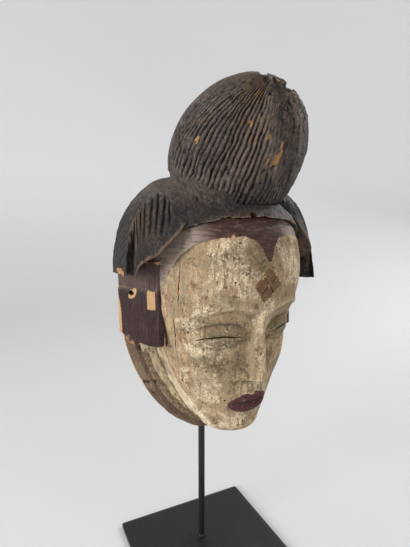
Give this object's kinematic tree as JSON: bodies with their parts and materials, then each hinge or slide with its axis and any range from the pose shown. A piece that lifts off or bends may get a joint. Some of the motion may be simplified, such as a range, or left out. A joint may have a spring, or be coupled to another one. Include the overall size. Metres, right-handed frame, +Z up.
{
  "type": "punu mask on a display stand",
  "caption": "Carved wooden mask with a whitened face, slit eyes, drooping side lobes and a grooved bun of hair, standing on a black steel rod and foot plate.",
  "frame": {"origin": "middle of the foot plate's underside", "axes": "+Z up, the mask looks along -Y, +X is the mask's own left side"},
  "size_m": [0.1854, 0.1496, 0.4059],
  "materials": {
    "carved_wood": "chalky white clay on the face, near-black hair, dry brown wood with chips and insect holes",
    "black_steel": "satin black"
  },
  "bodies": {
    "root": {"mask": "carved_wood", "stand_rod": "black_steel", "foot_plate": "black_steel"}
  },
  "joints": []
}
